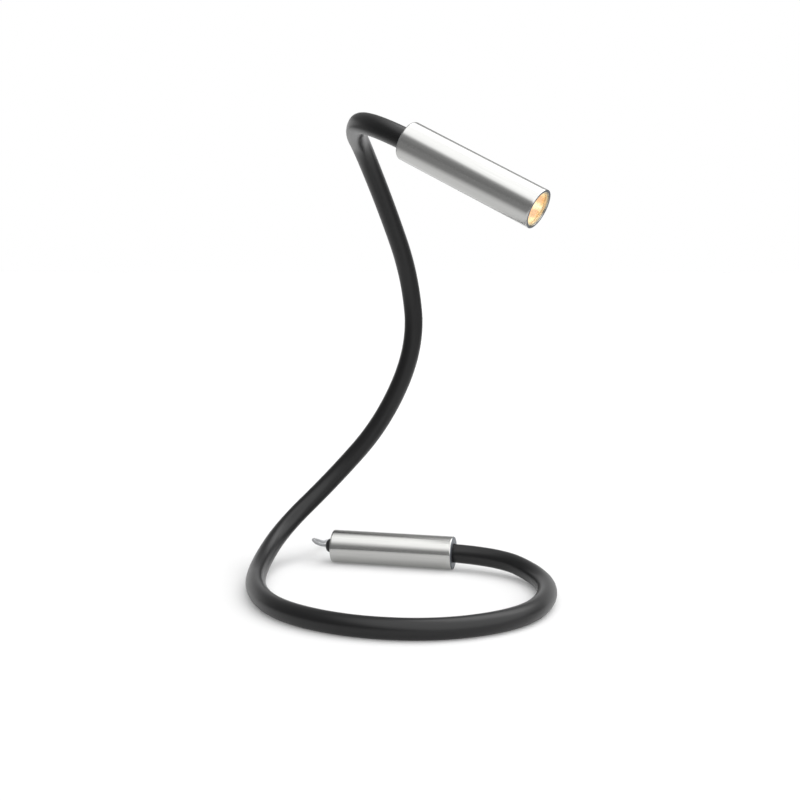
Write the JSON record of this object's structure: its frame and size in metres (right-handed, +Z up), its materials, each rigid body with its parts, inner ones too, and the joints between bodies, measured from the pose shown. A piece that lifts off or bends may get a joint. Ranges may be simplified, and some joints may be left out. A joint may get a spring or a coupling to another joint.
{
  "type": "led table lamp",
  "caption": "Flexible LED table lamp: a rubber-sheathed gooseneck coils on the table as its foot and rises to a tubular aluminium head; its other end holds the driver housing and cord.",
  "frame": {"origin": "on the table, under the middle of the lamp's box without its cord", "axes": "+Z up, +X to the right and -Y to the front, as the picture shows the lamp"},
  "size_m": [0.2801, 0.3468, 0.4194],
  "materials": {
    "black_rubber": "satin",
    "gooseneck_steel": "satin",
    "brushed_aluminium": "satin",
    "machined_aluminium": "satin",
    "turned_brass": "satin",
    "black_screw_steel": "satin",
    "counterweight_steel": "satin",
    "golden_reflector": "polished",
    "led_phosphor": "gloss",
    "clear_lens": "gloss",
    "gilt_lens_ring": "polished",
    "thermal_pad_grey": "matte",
    "board_white": "matte",
    "circuit_board_green": "satin",
    "tray_plastic": "matte",
    "ferrite": "matte",
    "capacitor_can": "gloss",
    "chip_epoxy": "matte",
    "gland_rubber": "matte",
    "cord_pvc": "satin",
    "lead_pvc": "satin",
    "tie_black": "matte",
    "switch_plastic": "satin",
    "slider_plastic": "satin",
    "contact_brass": "satin",
    "plug_plastic": "satin",
    "nickel": "polished"
  },
  "bodies": {
    "base": {"coil_rear_sheath": "black_rubber", "coil_rear_core": "gooseneck_steel", "housing_barrel": "brushed_aluminium", "housing_ferrule": "turned_brass", "housing_grub_screws": "black_screw_steel", "counterweight": "counterweight_steel", "driver_tray": "tray_plastic", "driver_board": "circuit_board_green", "driver_inductor": "ferrite", "driver_capacitor": "capacitor_can", "driver_chip": "chip_epoxy", "housing_lead": "lead_pvc", "cord_cap": "brushed_aluminium", "cord_gland": "gland_rubber", "inlet_lead": "cord_pvc", "supply_cord": "cord_pvc", "link_cord": "cord_pvc", "cord_coil": "cord_pvc", "coil_tie": "tie_black", "plug_cord": "cord_pvc", "switch_base": "switch_plastic", "switch_cover": "switch_plastic", "switch_contacts": "contact_brass", "plug_body": "plug_plastic", "plug_sleeve": "nickel", "plug_insulator": "plug_plastic"},
    "coil": {"coil_bend_sheath": "black_rubber", "coil_front_sheath": "black_rubber", "coil_front_core": "gooseneck_steel"},
    "neck_root": {"swing_bend_sheath": "black_rubber", "neck_root_sheath": "black_rubber", "neck_root_core": "gooseneck_steel"},
    "neck_lower": {"lean_bend_sheath": "black_rubber", "neck_lower_sheath": "black_rubber", "neck_lower_core": "gooseneck_steel"},
    "neck_upper": {"bow_bend_sheath": "black_rubber", "neck_upper_sheath": "black_rubber", "neck_upper_core": "gooseneck_steel"},
    "neck_crook": {"nod_bend_sheath": "black_rubber", "neck_crook_sheath": "black_rubber", "neck_crook_core": "gooseneck_steel"},
    "neck_end": {"turn_bend_sheath": "black_rubber", "turn_bend_core": "gooseneck_steel"},
    "head": {"tilt_bend_sheath": "black_rubber", "tilt_bend_core": "gooseneck_steel", "head_barrel": "brushed_aluminium", "head_ferrule": "turned_brass", "head_grub_screws": "black_screw_steel", "heat_sink": "machined_aluminium", "thermal_pad": "thermal_pad_grey", "led_board": "board_white", "led_emitter": "led_phosphor", "reflector": "golden_reflector", "front_lens": "clear_lens", "lens_ring": "gilt_lens_ring", "head_lead": "lead_pvc"},
    "switch_slider": {"switch_slider": "slider_plastic"}
  },
  "joints": [
    {"name": "coil_open", "type": "hinge", "parent": "base", "child": "coil", "pos_m": [0.12787, -0.04732, 0.0085], "axis": [0, 0, 1], "range_deg": [0, 35], "deforming": ["coil_bend_sheath", "coil_front_core"]},
    {"name": "neck_swing", "type": "hinge", "parent": "coil", "child": "neck_root", "pos_m": [-0.13045, 0.05237, 0.01106], "axis": [0, 0, 1], "range_deg": [-15, 45], "deforming": ["swing_bend_sheath", "neck_root_core"]},
    {"name": "neck_lean", "type": "hinge", "parent": "neck_root", "child": "neck_lower", "pos_m": [-0.06723, 0.14216, 0.07694], "axis": [0, 1, 0], "range_deg": [-30, 25], "deforming": ["lean_bend_sheath", "neck_lower_core"]},
    {"name": "neck_bow", "type": "hinge", "parent": "neck_lower", "child": "neck_upper", "pos_m": [0.01397, 0.146, 0.21259], "axis": [1, 0, 0], "range_deg": [-30, 30], "deforming": ["bow_bend_sheath", "neck_upper_core"]},
    {"name": "neck_nod", "type": "hinge", "parent": "neck_upper", "child": "neck_crook", "pos_m": [-0.01102, 0.10751, 0.34504], "axis": [1, 0, 0], "range_deg": [-35, 35], "deforming": ["nod_bend_sheath", "neck_crook_core"]},
    {"name": "head_turn", "type": "hinge", "parent": "neck_crook", "child": "neck_end", "pos_m": [-0.03714, 0.01394, 0.40773], "axis": [0, 0, 1], "range_deg": [-40, 40], "deforming": ["turn_bend_sheath", "turn_bend_core"]},
    {"name": "head_tilt", "type": "hinge", "parent": "neck_end", "child": "head", "pos_m": [-0.02312, -0.06492, 0.40768], "axis": [0.4695, 0.8829, 0], "range_deg": [-35, 35], "deforming": ["tilt_bend_sheath", "tilt_bend_core"]},
    {"name": "switch_slide", "type": "slide", "parent": "base", "child": "switch_slider", "axis": [1, 0, 0], "range_m": [-0.005, 0]}
  ]
}
